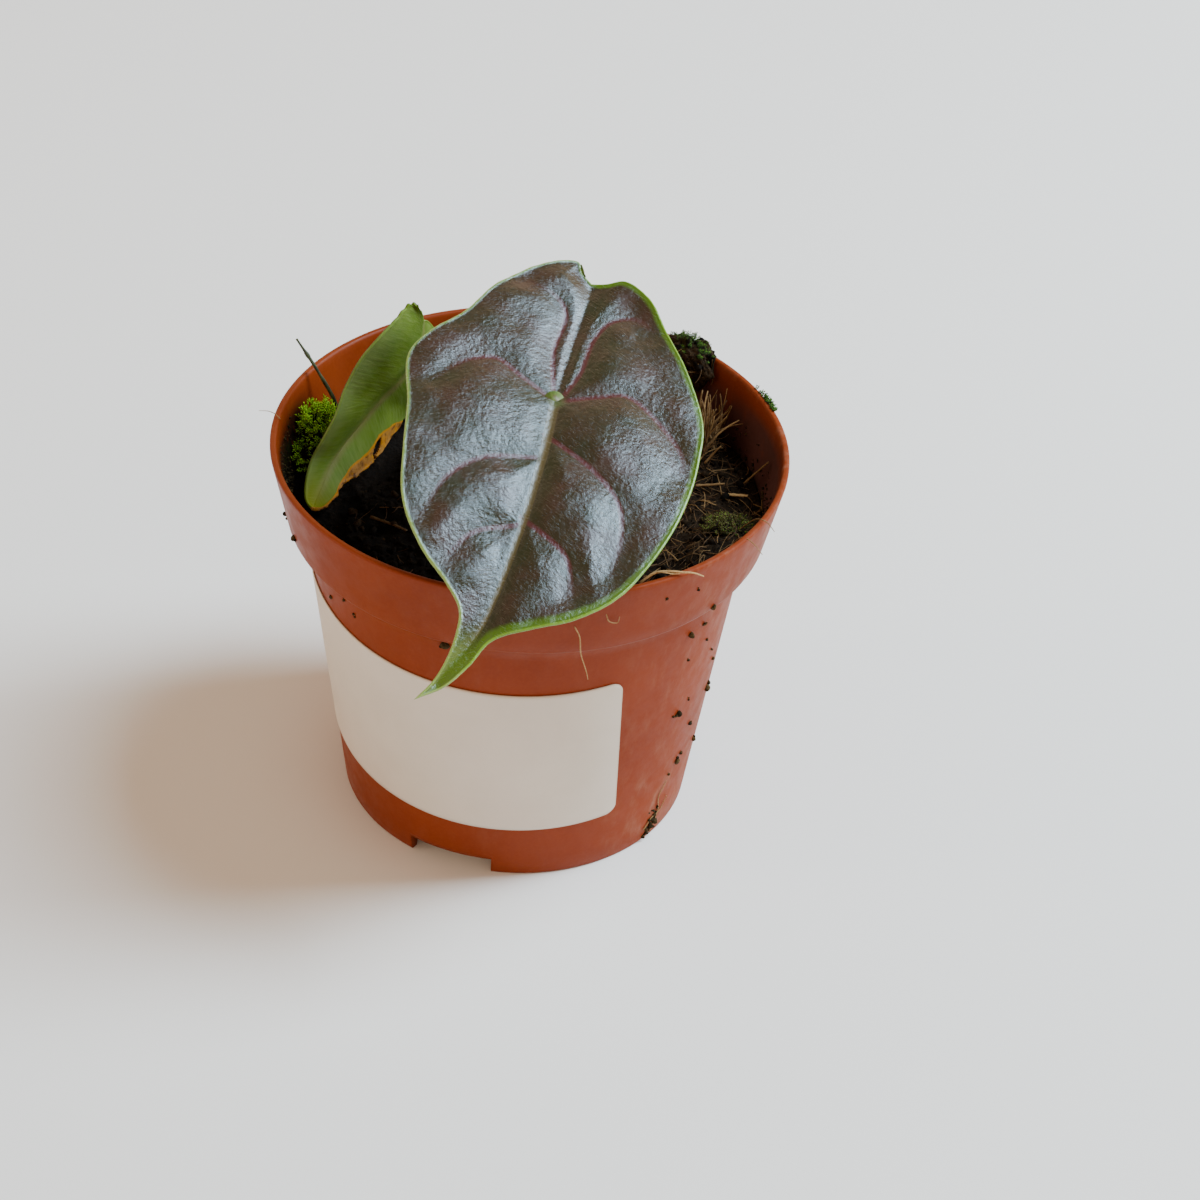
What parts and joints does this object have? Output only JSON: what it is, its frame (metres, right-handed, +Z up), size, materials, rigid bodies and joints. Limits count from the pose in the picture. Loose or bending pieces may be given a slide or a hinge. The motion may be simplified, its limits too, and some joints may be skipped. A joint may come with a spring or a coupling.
{
  "type": "potted alocasia azlanii",
  "caption": "Young aroid house plant in a round tapered nursery pot, with one dark peltate leaf over the rim, a folded green leaf, peat, moss and coir, and a bare label.",
  "frame": {"origin": "middle of the footprint of the whole object, on the surface that the pot stands on; the pot's axis is parallel to Z, 8.4 mm along +Y from the origin", "axes": "+Z up out of the pot; -Y towards the viewer of the picture, the way that the main leaf hangs; +X to the viewer's right"},
  "size_m": [0.0898, 0.1066, 0.0979],
  "materials": {
    "pot_plastic": "terracotta-brown moulded polypropylene, slightly glossy",
    "label_paper": "bare matt white label",
    "soil": "moist black peat with coir",
    "leaf_dark": "dark metallic blade with magenta veins and a green margin",
    "leaf_green": "matt green underside",
    "stem_green": "smooth green petiole",
    "stem_brown": "papery stem base",
    "moss": "bright green moss",
    "coir": "tan coconut fibre"
  },
  "bodies": {
    "root": {"pot": "pot_plastic", "label": "label_paper", "soil": "soil", "stem_base": "stem_brown", "petiole_main": "stem_green", "leaf_main": "leaf_dark", "petiole_second": "stem_green", "leaf_second": "leaf_green", "dry_stalk": "stem_green", "moss_left": "moss", "moss_right": "moss", "peat_clump": "soil", "coir_tuft": "coir", "coir_straw_1": "coir", "coir_straw_2": "coir", "coir_straw_3": "coir", "coir_straw_4": "coir", "rim_fibre": "coir"}
  },
  "joints": []
}
